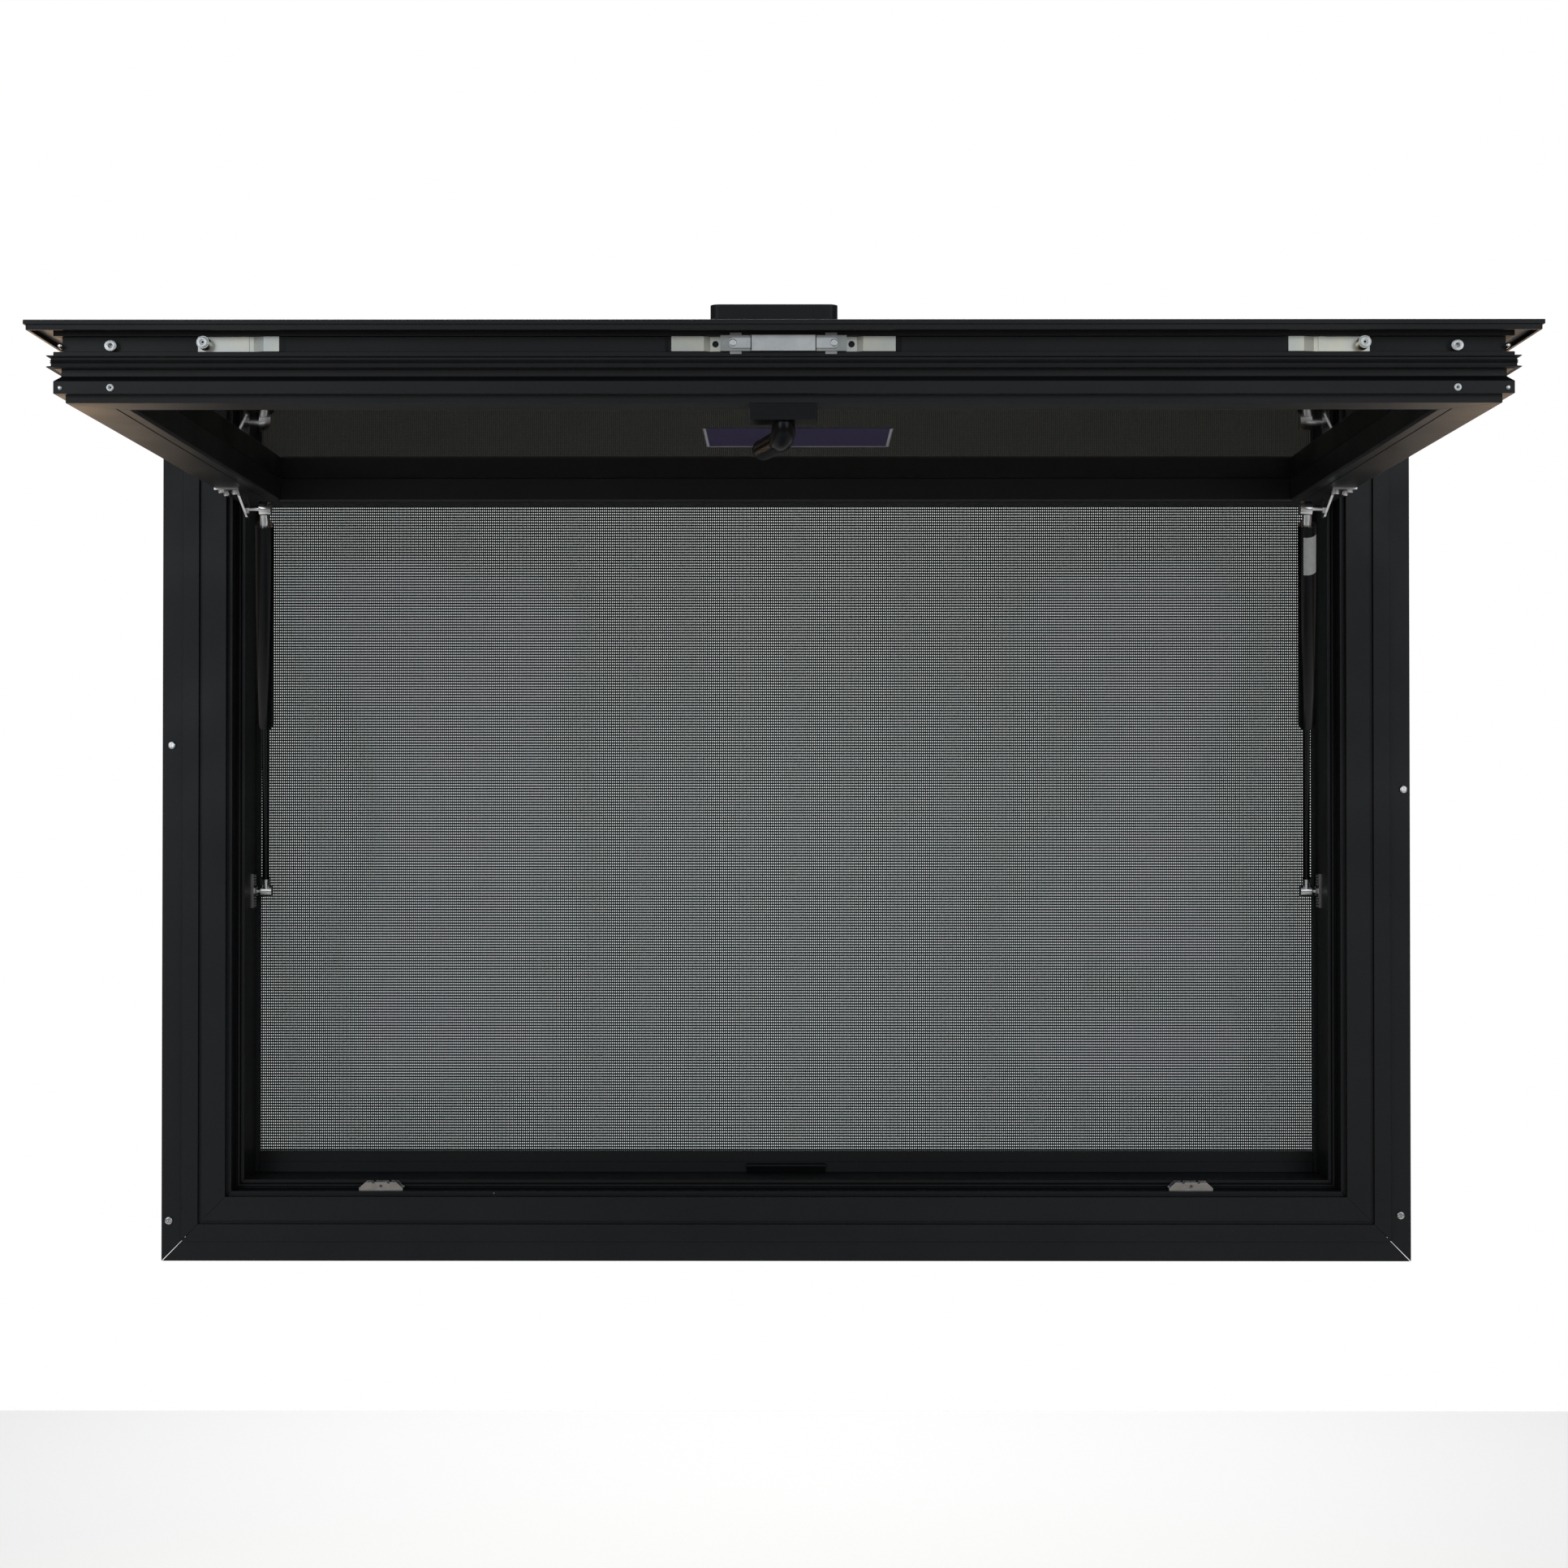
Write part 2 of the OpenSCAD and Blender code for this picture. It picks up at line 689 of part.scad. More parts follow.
module sash_member(side) {
    color(coat)
        on_sash()
            ring_side(side, sash_outline(), sash_x, sash_z, sash_w + lip_in);
}

module sash_bottom_rail() { sash_member("bottom"); }
module sash_top_rail() { sash_member("top"); }
module sash_stile_left() { sash_member("left"); }
module sash_stile_right() { sash_member("right"); }

// A foot in its groove, a body on the hardware face, two fins and two ribs between them
module sash_seal() {
    low = face_y + edge_y;
    high = low + edge_w;
    mid = (low + high) / 2;
    skin = wing_w - edge_t;
    tip = wing_w - edge_out;
    foot_low = face_y + foot_y - foot_w / 2;
    foot_high = face_y + foot_y + foot_w / 2;
    outline = [
        [wing_w + foot_d, foot_low], [wing_w + foot_d, foot_high], [wing_w, foot_high],
        [wing_w, high], [tip, high], [tip, high - rib_t / 2], [skin, high - rib_t],
        [skin, mid + rib_t], [skin - rib_h, mid + rib_t / 2], [skin, mid],
        [skin - rib_h, mid - rib_t / 2], [skin, mid - rib_t],
        [skin, low + rib_t], [tip, low + rib_t / 2], [tip, low], [wing_w, low], [wing_w, foot_low]
    ];
    color(rubber)
        on_sash()
            ring(outline, sash_x, sash_z, sash_w);
}

// One pane of the double glazing, with its outer face at the given depth
module pane(y) {
    color(smoked)
        on_sash()
            translate([-sash_x + pane_edge, y, mid_z - sash_z + pane_edge])
                cube([2 * (sash_x - pane_edge), pane_t, 2 * (sash_z - pane_edge)]);
}

module glass_outer_pane() { pane(face_y + glass_back); }
module glass_inner_pane() { pane(glass_y - pane_t); }

// The hollow metal strip that holds the panes apart
module glass_spacer() {
    outline = [
        [spacer_in, spacer_y], [spacer_in + spacer_w, spacer_y],
        [spacer_in + spacer_w, spacer_y + cavity], [spacer_in, spacer_y + cavity]
    ];
    color(zinc)
        on_sash()
            ring(outline, sash_x - pane_edge, sash_z - pane_edge, spacer_in + spacer_w);
}

// A bead stands on the glass, with a bevel along its inner edge
module bead(side) {
    high = inner_y - bead_back;
    outline = [
        [0, glass_y], [bead_w, glass_y], [bead_w, high - bead_bevel],
        [bead_w - bead_bevel, high], [0, high]
    ];
    color(coat)
        on_sash()
            ring_side(side, outline, sash_x - sash_w, sash_z - sash_w, bead_w);
}

module bead_bottom() { bead("bottom"); }
module bead_top() { bead("top"); }
module bead_left() { bead("left"); }
module bead_right() { bead("right"); }

// A block with rounded corners, on the outer face of the bottom rail
module exterior_pull() {
    x = pull_l / 2 - pull_round;
    z = pull_w - pull_round;
    color(coat)
        on_sash()
            translate([-pull_x, face_y, bottom_z + pull_up])
                rotate([90, 0, 0])
                    linear_extrude(pull_h)
                        polygon(concat(
                            arc([-x, pull_round], pull_round, 180, 270),
                            arc([x, pull_round], pull_round, 270, 360),
                            arc([x, z], pull_round, 0, 90), arc([-x, z], pull_round, 90, 180)
                        ));
}

// The base is bored for the spindle of the lever
module handle_base() {
    color(coat)
        on_sash()
            difference() {
                translate([-base_l / 2, inner_y, handle_z - base_w / 2])
                    cube([base_l, base_h, base_w]);
                translate([0, inner_y + base_h / 4, handle_z])
                    rotate([-90, 0, 0])
                        cylinder(h = base_h, r = spindle_r + spindle_clear);
            }
}

// A spindle, a round neck that bends into a tapering grip, and a round tip
module handle_lever() {
    neck_from = inner_y + base_h + rod_clear;
    spindle_from = inner_y + base_h / 3;
    color(coat)
        on_sash()
            translate([0, 0, handle_z])
                rotate([90, lever_rest, 180]) {
                    translate([0, 0, spindle_from])
                        cylinder(h = lever_y - bend_r - spindle_from, r = spindle_r);
                    translate([0, 0, neck_from])
                        cylinder(h = lever_y - bend_r - neck_from, r = neck_r);
                    translate([0, bend_r, lever_y - bend_r])
                        rotate([90, 0, 90])
                            rotate([0, 0, 90])
                                rotate_extrude(angle = 90)
                                    translate([bend_r, 0])
                                        circle(r = neck_r);
                    translate([0, bend_r, lever_y])
                        rotate([-90, 0, 0])
                            cylinder(h = lever_l - bend_r, r1 = neck_r, r2 = tip_r - 0.3);
                    translate([0, lever_l, lever_y])
                        sphere(r = tip_r);
                }
}

// The body fills the groove, and a cover with ears and a raised cap stands at each side of it
module lock_gearbox() {
    wide = rod_groove_w;
    face_z = bottom_z + wing_w;
    step = cover_h - cap_h;
    y = cap_w / 2 - cap_round;
    color(zinc)
        on_sash() {
            translate([-gear_l / 2, groove_y, face_z - cover_h])
                cube([gear_l, wide, cover_h + rod_groove_d]);
            for (side = [-1, 1]) {
                mid = side * (gear_l + cover_l) / 2;
                translate([mid - cover_l / 2, groove_y, face_z - step])
                    cube([cover_l, wide, step]);
                translate([mid - ear_l / 2, groove_y - ear_w, face_z - step / 2])
                    cube([ear_l, wide + 2 * ear_w, step / 2]);
                translate([side * gear_l / 2, groove_y + wide / 2, face_z - cover_h])
                    scale([side, 1, 1])
                        linear_extrude(cap_h + step / 2)
                            polygon(concat(
                                [[0, -cap_w / 2]],
                                arc([cap_l - cap_round, -y], cap_round, 270, 360),
                                arc([cap_l - cap_round, y], cap_round, 0, 90),
                                [[0, cap_w / 2]]
                            ));
            }
        }
}

// A bent strip in the groove, from a slotted fork to a lock bar with a pad and a roller
module lock_rod_right() {
    inner = gear_l / 2 + lock_travel + rod_gap;
    fork_from = fork_end - fork_l;
    bar_end = roller_x + bar_past;
    bar_from = bar_end - bar_l;
    path = [
        [inner, low_u], [fork_from - joggle_l, low_u], [fork_from, high_u], [fork_end, high_u],
        [fork_end + joggle_l, low_u], [bar_from - joggle_l, low_u], [bar_from, high_u],
        [bar_from + flat_l, high_u], [bar_from + flat_l + slope_l, low_u], [bar_end, low_u]
    ];
    last = len(path) - 1;
    color(zinc)
        on_sash()
            translate([0, groove_y + rod_clear, bottom_z]) {
                difference() {
                    translate([0, rod_w, 0])
                        rotate([90, 0, 0])
                            linear_extrude(rod_w)
                                polygon(concat(path, [for (i = [last:-1:0]) path[i] + [0, rod_t]]));
                    translate([fork_end - slot_in, rod_w / 2, 0])
                        cylinder(h = low_u + 2 * rod_t, r = slot_r);
                }
                translate([bar_end - pad_in - pad_l, 0, low_u - pad_h])
                    cube([pad_l, rod_w, pad_h + rod_t / 2]);
                translate([roller_x, rod_w / 2, high_u - roller_h])
                    cylinder(h = roller_h + low_u - high_u + rod_t / 2, r = roller_r);
            }
}

module lock_rod_left() { mirror([1, 0, 0]) lock_rod_right(); }

// An angle on the stile with a tapering leg, and a ball stud with a collar on the leg
module strut_bracket_left() {
    outer = -(sash_x - wing_w - step_w) + rod_clear;
    inner = outer + bracket_w;
    foot = inner + leg_lean;
    ball_x = -(sash_x - strut_inset);
    along = hinge_z - strut_along;
    half = bracket_l / 2;
    end_y = inner_y + bracket_leg - leg_round;
    stud_from = inner + leg_lean * strut_drop / bracket_leg - bracket_t / 2;
    color(zinc)
        on_sash() {
            intersection() {
                translate([0, 0, along - half])
                    linear_extrude(bracket_l)
                        polygon([
                            [outer, inner_y], [inner, inner_y], [foot, inner_y + bracket_leg],
                            [foot - bracket_t, inner_y + bracket_leg],
                            [inner - bracket_t, inner_y + bracket_t], [outer, inner_y + bracket_t]
                        ]);
                translate([outer + (foot - outer) / 2, 0, along])
                    along_x(2 * (foot - outer))
                        polygon(concat(
                            [
                                [inner_y + leg_straight, half], [inner_y - bracket_t, half],
                                [inner_y - bracket_t, -half], [inner_y + leg_straight, -half]
                            ],
                            arc([end_y, 0], leg_round, -70, 70, 12)
                        ));
            }
            translate([stud_from, inner_y + strut_drop, along])
                rotate([0, 90, 0]) {
                    cylinder(h = ball_x - stud_from, r = ball_r / 2);
                    cylinder(h = collar_t + bracket_t / 2, r = collar_r, $fn = 6);
                }
            translate([ball_x, inner_y + strut_drop, along])
                sphere(r = ball_r);
        }
}

module strut_bracket_right() { mirror([1, 0, 0]) strut_bracket_left(); }

// A small plate on the jamb with a ball stud and its collar
module strut_stud_left() {
    color(zinc) {
        translate([-reveal_x, low_ball[1] - plate_w / 2, low_ball[2] - plate_l / 2])
            cube([bracket_t, plate_w, plate_l]);
        translate([-reveal_x, low_ball[1], low_ball[2]])
            rotate([0, 90, 0]) {
                cylinder(h = stud_l, r = ball_r / 2);
                cylinder(h = bracket_t + collar_t, r = collar_r, $fn = 6);
            }
        translate(low_ball)
            sphere(r = ball_r);
    }
}

module strut_stud_right() { mirror([1, 0, 0]) strut_stud_left(); }

// Points the children's Z axis from one ball to the other
module between(p, q) {
    d = q - p;
    translate(p)
        rotate([0, acos(d[2] / norm(d)), atan2(d[1], d[0])])
            children();
}

// The round housing of a ball, open towards the stud
module ball_housing(p) {
    translate(p + [-skirt, 0, 0])
        rotate([0, 90, 0])
            cylinder(h = skirt + housing_r, r = housing_r);
}

// The hollow holds the ball, and its mouth is wider than the stud
module ball_hollow(p) {
    translate(p)
        sphere(r = ball_r + ball_clear);
    translate(p + [-socket_depth - housing_r, 0, 0])
        rotate([0, 90, 0])
            cylinder(h = housing_r, r = socket_mouth);
}

module strut_cylinder_left() {
    color(coat)
        difference() {
            union() {
                between(top_ball, low_ball) {
                    translate([0, 0, shank_from])
                        cylinder(h = tube_from_ball - shank_from, r = shank_r);
                    translate([0, 0, tube_from_ball])
                        cylinder(h = tube_l, r = tube_r);
                    translate([0, 0, tube_from_ball + tube_l])
                        cylinder(h = tube_collar, r = tube_r - 1);
                }
                ball_housing(top_ball);
            }
            ball_hollow(top_ball);
            between(top_ball, low_ball)
                translate([0, 0, tube_from_ball + tube_l - rod_in])
                    cylinder(h = rod_in + 2 * tube_collar, r = piston_r + ball_clear);
        }
}

module strut_cylinder_right() { mirror([1, 0, 0]) strut_cylinder_left(); }

module strut_rod_left() {
    apart = norm(low_ball - top_ball);
    open_l = apart - 2 * tube_from_ball - tube_l;
    color(coat)
        difference() {
            union() {
                between(low_ball, top_ball) {
                    translate([0, 0, shank_from])
                        cylinder(h = tube_from_ball - shank_from, r = shank_r);
                    translate([0, 0, tube_from_ball])
                        cylinder(h = open_l + rod_in - tube_collar / 2, r = piston_r);
                }
                ball_housing(low_ball);
            }
            ball_hollow(low_ball);
        }
}

module strut_rod_right() { mirror([1, 0, 0]) strut_rod_left(); }

flange_bottom();
flange_top();
flange_left();
flange_right();
frame_sill();
frame_head();
frame_jamb_left();
frame_jamb_right();
frame_seal();
screen_track_left();
screen_track_right();
screen_pull_bar();
screen_mesh();
screen_box();
keeper_left();
keeper_right();
hinge_frame_leaf();
hinge_sash_leaf();
sash_bottom_rail();
sash_top_rail();
sash_stile_left();
sash_stile_right();
sash_seal();
glass_outer_pane();
glass_spacer();
glass_inner_pane();
bead_bottom();
bead_top();
bead_left();
bead_right();
exterior_pull();
handle_base();
handle_lever();
lock_gearbox();
lock_rod_left();
lock_rod_right();
strut_bracket_left();
strut_bracket_right();
strut_stud_left();
strut_stud_right();
strut_cylinder_left();
strut_cylinder_right();
strut_rod_left();
strut_rod_right();
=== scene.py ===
"""Dresses the black aluminium serving window: finishes, screws, woven screen, labels, light and camera.

Lengths are in metres. X runs along the wall, Y goes into it, Z is up, and the outside faces -Y.
"""

import math

import bpy
from mathutils import Matrix, Vector


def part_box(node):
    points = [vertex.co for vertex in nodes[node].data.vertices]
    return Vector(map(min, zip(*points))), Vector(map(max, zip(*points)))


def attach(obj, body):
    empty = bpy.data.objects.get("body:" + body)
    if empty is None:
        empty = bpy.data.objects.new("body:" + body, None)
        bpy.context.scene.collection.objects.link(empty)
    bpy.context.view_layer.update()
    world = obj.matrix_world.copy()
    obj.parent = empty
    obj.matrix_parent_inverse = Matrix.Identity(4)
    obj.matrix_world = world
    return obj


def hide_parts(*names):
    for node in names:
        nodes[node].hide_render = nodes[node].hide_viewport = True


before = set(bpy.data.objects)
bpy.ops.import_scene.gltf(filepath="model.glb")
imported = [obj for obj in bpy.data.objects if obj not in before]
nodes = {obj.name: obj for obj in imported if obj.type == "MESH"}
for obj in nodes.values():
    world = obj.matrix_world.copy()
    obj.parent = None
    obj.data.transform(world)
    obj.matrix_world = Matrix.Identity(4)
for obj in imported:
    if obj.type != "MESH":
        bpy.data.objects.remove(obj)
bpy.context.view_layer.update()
MM = 0.001
WINDOW = "window"
SIDES = (("left", -1), ("right", 1))
OUTWARDS, DOWNWARDS = (0, -1, 0), (0, 0, -1)


# Small helpers for modelling


def drop_selection():
    """Leaves nothing selected, because operators act on all that is."""
    bpy.ops.object.select_all(action="DESELECT")


def take(piece):
    """Makes one piece the only selected and the active one."""
    drop_selection()
    piece.select_set(True)
    bpy.context.view_layer.objects.active = piece


def pick(piece, kind, test):
    """Opens a piece in edit mode with those of its faces or edges chosen that pass the test."""
    take(piece)
    bpy.ops.object.mode_set(mode="EDIT")
    bpy.ops.mesh.select_mode(type=kind)
    bpy.ops.mesh.select_all(action="DESELECT")
    bpy.ops.object.mode_set(mode="OBJECT")
    mesh = piece.data
    if kind == "FACE":
        for face in mesh.polygons:
            face.select = test(face)
    else:
        for edge in mesh.edges:
            edge.select = test(*(mesh.vertices[v].co for v in edge.vertices))
    bpy.ops.object.mode_set(mode="EDIT")


def leave_edit():
    """Goes back to object mode."""
    bpy.ops.object.mode_set(mode="OBJECT")


def settle(piece):
    """Bakes a piece's own place, turn and scale into its mesh."""
    take(piece)
    bpy.ops.object.transform_apply(location=True, rotation=True, scale=True)


def apply_all(piece):
    """Applies every modifier of a piece, in order."""
    take(piece)
    for modifier in list(piece.modifiers):
        bpy.ops.object.modifier_apply(modifier=modifier.name)


def tidy_normals(piece):
    """Merges doubles and points all faces outwards."""
    take(piece)
    bpy.ops.object.mode_set(mode="EDIT")
    bpy.ops.mesh.select_all(action="SELECT")
    bpy.ops.mesh.remove_doubles(threshold=0.001 * MM)
    bpy.ops.mesh.normals_make_consistent(inside=False)
    leave_edit()


def smooth(piece, angle=35):
    """Shades a piece smooth, apart from edges that turn by more than an angle in degrees."""
    take(piece)
    bpy.ops.object.shade_smooth_by_angle(angle=math.radians(angle))


def cylinder(radius, depth, place=(0, 0, 0), sides=32, turn=(0, 0, 0)):
    """A closed cylinder, centred on its place, along its own Z."""
    drop_selection()
    bpy.ops.mesh.primitive_cylinder_add(
        vertices=sides, radius=radius, depth=depth, location=place, rotation=turn
    )
    made = bpy.context.active_object
    settle(made)
    return made


def block(size, place=(0, 0, 0), turn=(0, 0, 0)):
    """A box of the given full sizes, centred on its place."""
    drop_selection()
    bpy.ops.mesh.primitive_cube_add(size=1, location=place, rotation=turn)
    made = bpy.context.active_object
    made.scale = size
    settle(made)
    return made


def cut(piece, cutter):
    """Takes the cutter's shape out of a piece and removes the cutter."""
    modifier = piece.modifiers.new("cut", "BOOLEAN")
    modifier.operation = "DIFFERENCE"
    modifier.solver = "EXACT"
    modifier.object = cutter
    apply_all(piece)
    bpy.data.objects.remove(cutter)


def on_top(height):
    """A test for the edges that lie on top of a piece of the given height."""
    return lambda a, b: min(a.z, b.z) > 0.95 * height


def along(axis, length):
    """A test for the edges that run along an axis for about the given length."""
    return lambda a, b: abs(getattr(a, axis) - getattr(b, axis)) > 0.9 * length


def round_edges(piece, test, width, segments):
    """Rounds the edges of a piece whose two ends pass the test."""
    pick(piece, "EDGE", test)
    bpy.ops.mesh.bevel(offset=width, segments=segments, affect="EDGES")
    leave_edit()


def join(pieces):
    """Joins several pieces into the first."""
    drop_selection()
    for piece in pieces:
        piece.select_set(True)
    bpy.context.view_layer.objects.active = pieces[0]
    if len(pieces) > 1:
        bpy.ops.object.join()
    return pieces[0]


def done(piece, name, material, body=WINDOW):
    """Names a finished piece, gives it its material and puts it on its body."""
    piece.name = name
    piece.data.name = name
    piece.data.materials.clear()
    piece.data.materials.append(material)
    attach(piece, body)


def copy_to(pattern, place, normal):
    """A copy of a pattern that was modelled at the origin along +Z, set on a place along a normal."""
    made = pattern.copy()
    made.data = pattern.data.copy()
    bpy.context.scene.collection.objects.link(made)
    turn = Vector(normal).to_track_quat("Z", "Y").to_matrix().to_4x4()
    made.data.transform(Matrix.Translation(place) @ turn)
    return made


def set_copies(pattern, name, places, normal, material, body=WINDOW):
    """Joins copies of a pattern, one at each place, into one finished piece."""
    copies = [copy_to(pattern, place, normal) for place in places]
    done(join(copies), name, material, body)


def film(name, size, place, turn, material, corner_r):
    """A finished thin plate with rounded corners, modelled flat and then turned into place."""
    made = block(size)
    round_edges(made, along("z", size[2]), corner_r, 4)
    made.data.transform(Matrix.Translation(place) @ turn)
    done(made, name, material)


# Materials

# Sockets of a colour mix node: its share, its two colours, and the colour that comes out
MIX_SHARE, MIX_FIRST, MIX_SECOND, MIX_RESULT = 0, 6, 7, 2


class Finish:
    """Builds one material's nodes around its principled shader."""

    def __init__(self, name):
        self.material = bpy.data.materials.new(name)
        self.material.use_nodes = True
        self.tree = self.material.node_tree
        self.shader = self.tree.nodes["Principled BSDF"]
        coordinates = self.tree.nodes.new("ShaderNodeTexCoord")
        self.place = coordinates.outputs["Object"]

    def add(self, kind, **values):
        """Adds a node with the given settings."""
        node = self.tree.nodes.new(kind)
        for key, value in values.items():
            setattr(node, key, value)
        return node

    def link(self, source, target):
        """Leads one socket into another."""
        self.tree.links.new(source, target)

    def stretched(self, scale):
        """Object coordinates, scaled for each axis."""
        mapping = self.add("ShaderNodeMapping")
        mapping.inputs["Scale"].default_value = scale
        self.link(self.place, mapping.inputs["Vector"])
        return mapping.outputs["Vector"]

    def noise(self, scale, detail=3.0, roughness=0.5, where=None):
        """Noise over object coordinates, or over the ones given."""
        node = self.add("ShaderNodeTexNoise")
        node.inputs["Scale"].default_value = scale
        node.inputs["Detail"].default_value = detail
        node.inputs["Roughness"].default_value = roughness
        self.link(where or self.place, node.inputs["Vector"])
        return node.outputs["Fac"]

    def ramp(self, source, low, high, at=(0.0, 1.0)):
        """A colour ramp between two greys or colours."""
        node = self.add("ShaderNodeValToRGB")
        ends = node.color_ramp.elements
        for end, value, position in zip(ends, (low, high), at):
            end.position = position
            end.color = value if isinstance(value, tuple) else (value, value, value, 1)
        self.link(source, node.inputs["Fac"])
        return node.outputs["Color"]

    def mix(self, share, first, second):
        """A colour mix; each colour is a socket or a value."""
        node = self.add("ShaderNodeMix", data_type="RGBA")
        for index, value in ((MIX_FIRST, first), (MIX_SECOND, second)):
            if isinstance(value, tuple):
                node.inputs[index].default_value = value
            else:
                self.link(value, node.inputs[index])
        self.link(share, node.inputs[MIX_SHARE])
        return node.outputs[MIX_RESULT]

    def bump(self, height, strength, distance):
        """Leads a height into the shader's normal."""
        node = self.add("ShaderNodeBump")
        node.inputs["Strength"].default_value = strength
        node.inputs["Distance"].default_value = distance
        self.link(height, node.inputs["Height"])
        self.link(node.outputs["Normal"], self.shader.inputs["Normal"])

    def colour(self, socket):
        """Leads a socket into the base colour."""
        self.link(socket, self.shader.inputs["Base Color"])

    def rough(self, socket):
        """Leads a socket into the roughness."""
        self.link(socket, self.shader.inputs["Roughness"])

    def set(self, **values):
        """Sets inputs of the shader, with an underscore for each space in their names."""
        for key, value in values.items():
            self.shader.inputs[key.replace("_", " ")].default_value = value

    def specks(self, cells, size, share):
        """A mask of small round specks: some of the cells hold one."""
        cell = self.add("ShaderNodeTexVoronoi")
        cell.inputs["Scale"].default_value = cells
        self.link(self.place, cell.inputs["Vector"])
        near = self.add("ShaderNodeMath", operation="LESS_THAN")
        near.inputs[1].default_value = size * cells
        self.link(cell.outputs["Distance"], near.inputs[0])
        chosen = self.add("ShaderNodeSeparateColor")
        self.link(cell.outputs["Color"], chosen.inputs["Color"])
        few = self.add("ShaderNodeMath", operation="LESS_THAN")
        few.inputs[1].default_value = share
        self.link(chosen.outputs["Red"], few.inputs[0])
        mask = self.add("ShaderNodeMath", operation="MULTIPLY")
        self.link(near.outputs[0], mask.inputs[0])
        self.link(few.outputs[0], mask.inputs[1])
        return mask.outputs[0]


def powder_coat(name, dark, light, rough_low, rough_high, dusty=True):
    """Satin powder coat: fine orange peel, cloudy gloss and, where dusty, a few specks of dust."""
    finish = Finish(name)
    clouds = finish.noise(4.0, detail=4.0, roughness=0.6)
    colour = finish.ramp(clouds, dark, light, at=(0.3, 0.7))
    if dusty:
        dust = finish.specks(cells=16.0, size=0.7 * MM, share=0.16)
        colour = finish.mix(dust, colour, (0.42, 0.41, 0.4, 1))
    finish.colour(colour)
    finish.rough(finish.ramp(finish.noise(9.0), rough_low, rough_high, at=(0.35, 0.65)))
    finish.set(Specular_IOR_Level=0.35)
    finish.bump(finish.noise(1100.0, detail=2.0), strength=0.1, distance=0.2 * MM)
    return finish.material


def rubber():
    """Dull black rubber with a slightly worn, dusty tone."""
    finish = Finish("rubber")
    wear = finish.noise(60.0, detail=5.0)
    finish.colour(finish.ramp(wear, (0.006, 0.006, 0.007, 1), (0.016, 0.016, 0.017, 1)))
    finish.set(Roughness=0.62)
    finish.bump(finish.noise(700.0), strength=0.15, distance=0.2 * MM)
    return finish.material


def zinc(name, cold, warm, rough_low=0.26, rough_high=0.42, patch=60.0):
    """Brushed zinc plate or steel, with patches where the passivation is warmer or duller."""
    finish = Finish(name)
    patches = finish.noise(patch, detail=4.0, roughness=0.6)
    finish.colour(finish.ramp(patches, cold, warm, at=(0.38, 0.66)))
    along_x = finish.stretched((40.0, 900.0, 900.0))
    brushed = finish.noise(1.0, detail=4.0, roughness=0.65, where=along_x)
    finish.rough(finish.ramp(brushed, rough_low, rough_high))
    finish.set(Metallic=1.0)
    finish.bump(brushed, strength=0.04, distance=0.1 * MM)
    return finish.material


def gloss_black(name, tone, rough):
    """Smooth black enamel or moulded handle, with faint handling marks."""
    finish = Finish(name)
    darker = tuple(0.8 * c for c in tone) + (1,)
    finish.colour(finish.ramp(finish.noise(35.0, detail=4.0), darker, tone + (1,)))
    marks = finish.noise(26.0, detail=5.0, roughness=0.65)
    finish.rough(finish.ramp(marks, rough * 0.8, rough * 1.3, at=(0.35, 0.7)))
    finish.set(Specular_IOR_Level=0.2)
    finish.bump(finish.noise(900.0, detail=2.0), strength=0.04, distance=0.1 * MM)
    return finish.material


def tinted_glass():
    """Dark brown-grey float glass that mirrors what is under it."""
    finish = Finish("tinted_glass")
    depth = finish.noise(2.5, detail=2.0)
    finish.colour(finish.ramp(depth, (0.10, 0.088, 0.08, 1), (0.13, 0.115, 0.105, 1)))
    finish.set(Roughness=0.035, IOR=1.62, Specular_Tint=(1.0, 0.9, 0.8, 1), Transmission_Weight=1.0)
    return finish.material


def screen_wire():
    """Coated screen wire, dark green-grey."""
    finish = Finish("screen_wire")
    coat = finish.noise(30.0)
    finish.colour(finish.ramp(coat, (0.012, 0.034, 0.032, 1), (0.02, 0.049, 0.046, 1)))
    finish.set(Roughness=0.5)
    finish.bump(finish.noise(2500.0, detail=1.0), strength=0.1, distance=0.1 * MM)
    return finish.material


def plain_film(name, dark, light, grain, detail, roughness):
    """Plain label film with a faint grain."""
    finish = Finish(name)
    finish.colour(finish.ramp(finish.noise(grain, detail), dark, light))
    finish.set(Roughness=roughness)
    return finish.material


COAT = powder_coat("black_coat", (0.0085, 0.009, 0.0105, 1), (0.013, 0.0138, 0.0155, 1), 0.36, 0.46)
TRIM = powder_coat("black_trim", (0.0075, 0.008, 0.009, 1), (0.011, 0.0115, 0.0125, 1), 0.4, 0.5, False)
RUBBER = rubber()
ZINC = zinc("zinc_plate", (0.62, 0.63, 0.63, 1), (0.74, 0.74, 0.72, 1))
WARM_ZINC = zinc("yellow_zinc", (0.58, 0.59, 0.56, 1), (0.68, 0.65, 0.53, 1), 0.26, 0.32, 34.0)
# A darker zinc, used as painted shade on the gearbox's recessed cover faces
SHADED_ZINC = zinc("painted_shade_zinc", (0.40, 0.41, 0.40, 1), (0.50, 0.50, 0.48, 1), 0.34, 0.46)
BRIGHT = zinc("bright_steel", (0.66, 0.66, 0.66, 1), (0.80, 0.80, 0.79, 1), 0.14, 0.26)
ENAMEL = gloss_black("strut_enamel", (0.005, 0.005, 0.006), 0.16)
HANDLE = gloss_black("handle_coat", (0.0055, 0.006, 0.007), 0.2)
GLASS = tinted_glass()
WIRE = screen_wire()
PAPER = plain_film("label_film", (0.42, 0.43, 0.43, 1), (0.6, 0.61, 0.6, 1), 220.0, 3.0, 0.35)
VIOLET = plain_film("violet_film", (0.03, 0.018, 0.085, 1), (0.045, 0.026, 0.12, 1), 90.0, 2.0, 0.3)


